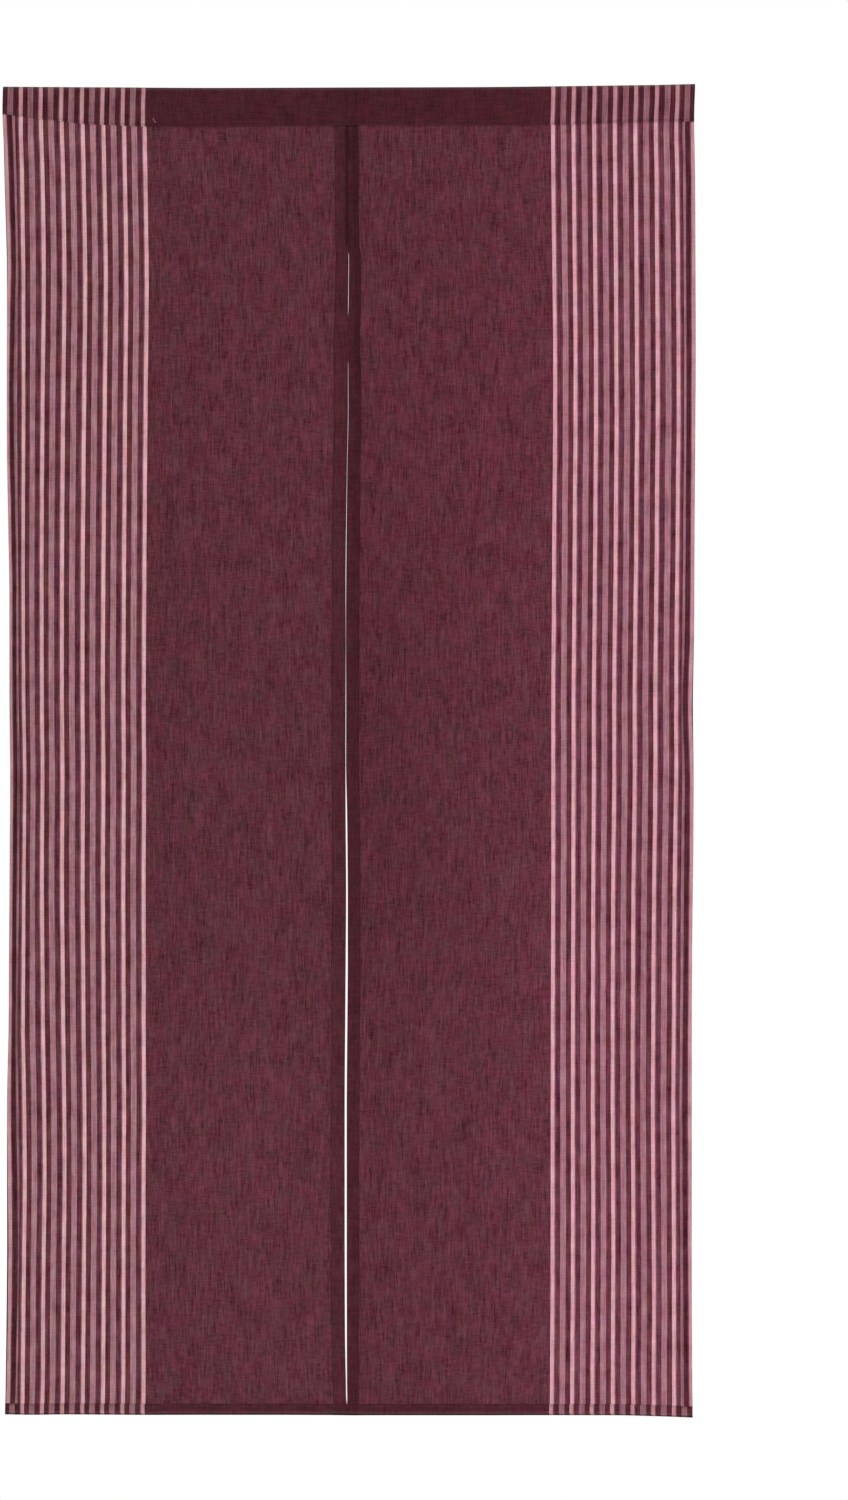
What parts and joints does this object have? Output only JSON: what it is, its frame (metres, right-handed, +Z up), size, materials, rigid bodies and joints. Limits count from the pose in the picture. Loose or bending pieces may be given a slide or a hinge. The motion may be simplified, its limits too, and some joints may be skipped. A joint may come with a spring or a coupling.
{
  "type": "noren curtain",
  "caption": "Split doorway curtain of two sewn cloth halves with a rod pocket along the top and striped sides, hanging in soft folds.",
  "frame": {"origin": "on the top edge, where the two halves meet", "axes": "+Z up along the curtain, +X to the right as seen from the side that the hems are turned to, which faces -Y"},
  "size_m": [0.8884, 0.0135, 1.7076],
  "materials": {
    "panel_cloth": "matt plain weave with fine slubs, wine red, with pink and mauve stripes along the outer sides",
    "heading_cloth": "the same cloth doubled, which looks darker"
  },
  "bodies": {
    "root": {"heading_left": "heading_cloth", "heading_right": "heading_cloth", "panel_left": "panel_cloth", "panel_right": "panel_cloth"}
  },
  "joints": []
}
